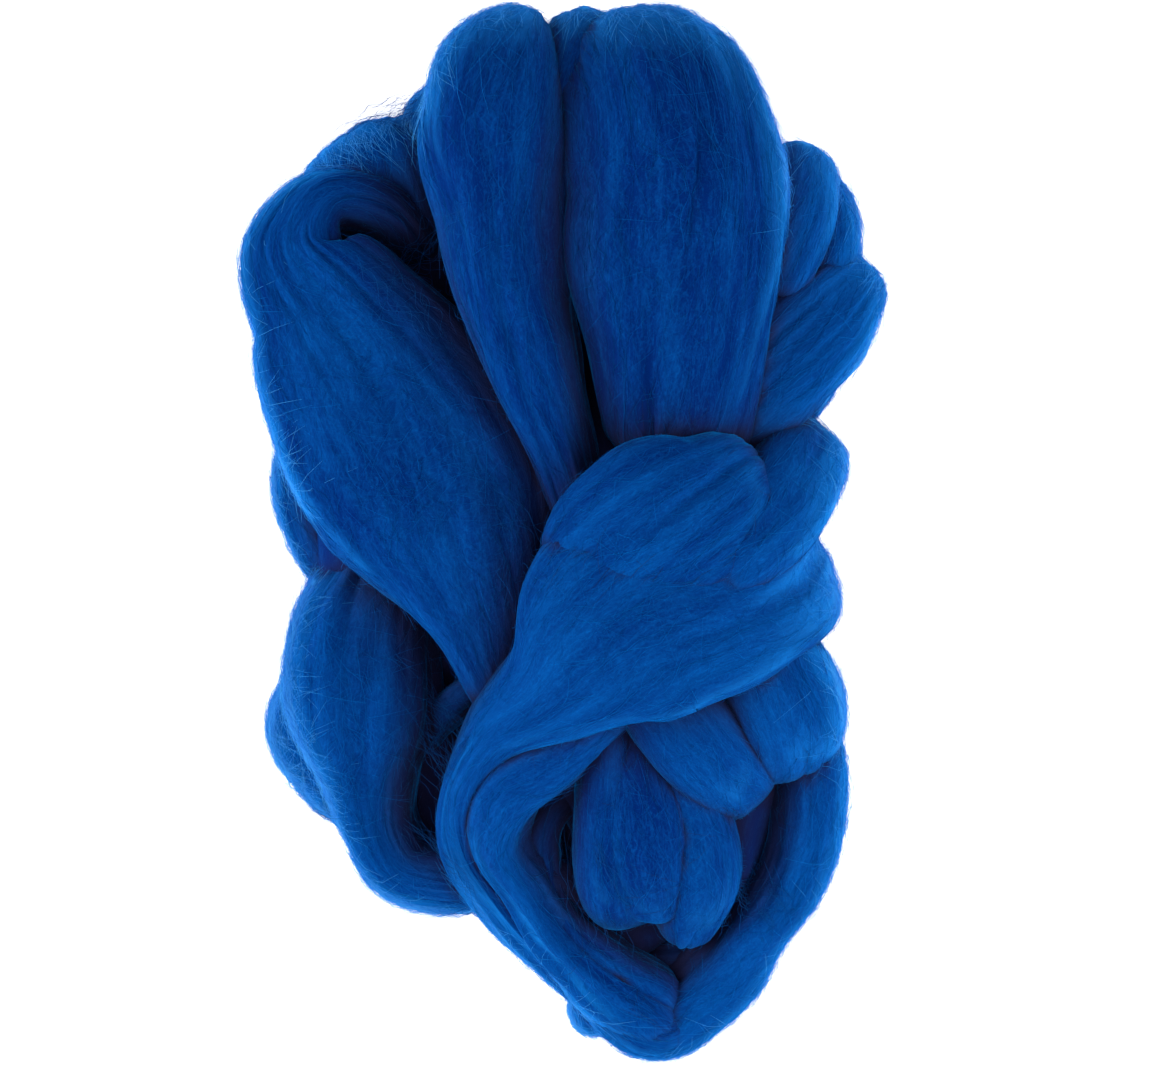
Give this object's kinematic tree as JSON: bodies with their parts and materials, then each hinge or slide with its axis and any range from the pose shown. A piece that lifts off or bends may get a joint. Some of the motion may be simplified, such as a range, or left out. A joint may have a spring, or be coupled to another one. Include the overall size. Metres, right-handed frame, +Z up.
{
  "type": "wool roving",
  "caption": "Loose bundle of combed wool roving, folded over on itself in tall folds, a wrapped middle and a loop, lying flat on a surface.",
  "frame": {"origin": "on the surface that the bundle lies on, under the middle of its box", "axes": "+Y along the bundle from the loop to the tall folds, +Z up from the surface"},
  "size_m": [0.1701, 0.2739, 0.0785],
  "materials": {
    "wool": "matte combed wool, royal blue"
  },
  "bodies": {
    "root": {"roving": "wool"}
  },
  "joints": []
}
